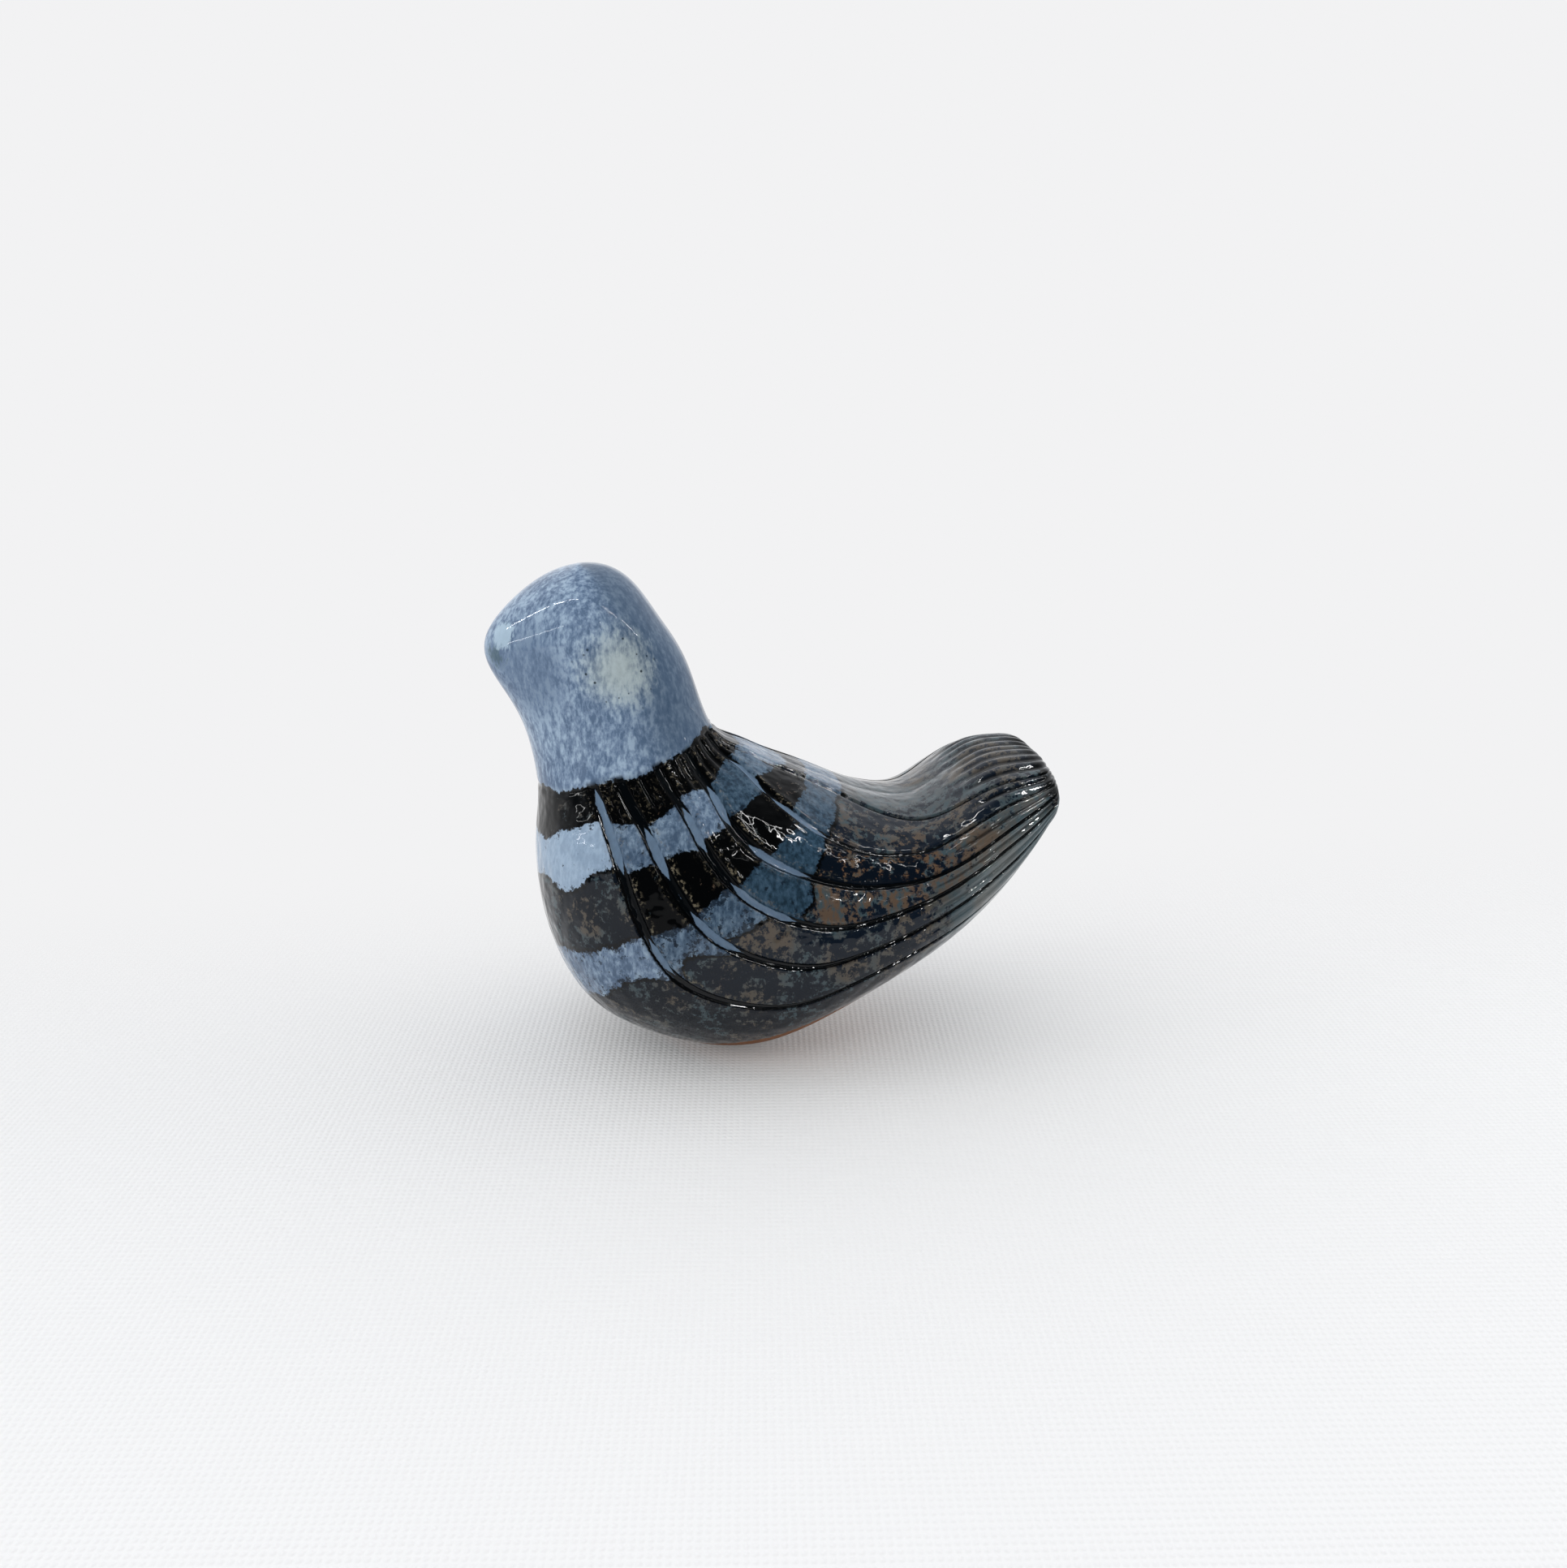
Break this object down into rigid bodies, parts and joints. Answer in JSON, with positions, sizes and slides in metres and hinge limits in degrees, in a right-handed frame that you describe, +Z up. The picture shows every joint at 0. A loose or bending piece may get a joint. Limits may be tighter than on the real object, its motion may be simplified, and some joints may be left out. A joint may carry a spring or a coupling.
{
  "type": "bird whistle",
  "caption": "Small glazed clay whistle in the form of a sitting bird, with a hollow body, a windway through the raised tail and a window under the rump.",
  "frame": {"origin": "centre of the flat foot, on the table", "axes": "+Z up, -X towards the beak, +X towards the tail and mouthpiece, Y across the bird"},
  "size_m": [0.0662, 0.038, 0.0565],
  "materials": {
    "glazed_stoneware": "glossy slate blue glaze, near-black and brown where it pools over the carved lines, bare clay at the foot"
  },
  "bodies": {
    "root": {"whistle_body": "glazed_stoneware"}
  },
  "joints": []
}
